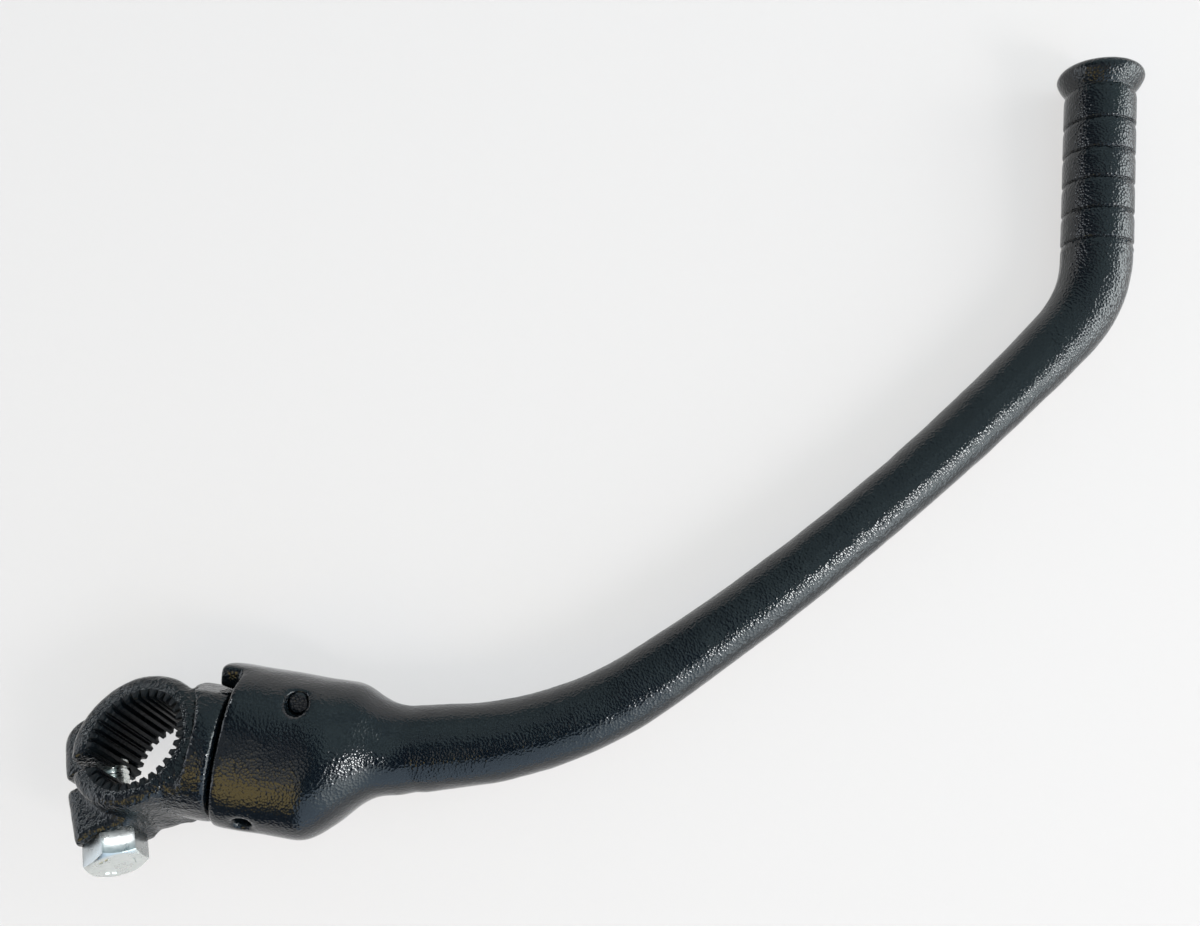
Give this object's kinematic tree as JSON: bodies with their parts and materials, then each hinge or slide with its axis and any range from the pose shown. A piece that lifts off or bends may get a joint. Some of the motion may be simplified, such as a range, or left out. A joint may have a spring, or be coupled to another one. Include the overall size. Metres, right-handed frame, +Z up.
{
  "type": "kick start lever",
  "caption": "Folding kick start lever: splined clamp hub with a pinch bolt, and a swivelling arm that bends into a ringed foot peg.",
  "frame": {"origin": "middle of the splined bore, on its axis", "axes": "+X along the swivel axis from the hub to the arm, +Z up from the inboard side as the lever lies folded, +Y towards the foot peg's end"},
  "size_m": [0.2355, 0.2307, 0.0343],
  "materials": {
    "black_paint": "gloss",
    "zinc": "satin",
    "steel": "satin"
  },
  "bodies": {
    "hub": {"hub": "black_paint", "pinch_bolt": "zinc", "detent_ball": "steel", "detent_spring": "steel"},
    "arm": {"arm": "black_paint", "retaining_pin": "black_paint"}
  },
  "joints": [
    {"name": "fold", "type": "hinge", "parent": "hub", "child": "arm", "pos_m": [0.0172, 0.0043, 0], "axis": [-1, 0, 0], "range_deg": [0, 117.7]}
  ]
}
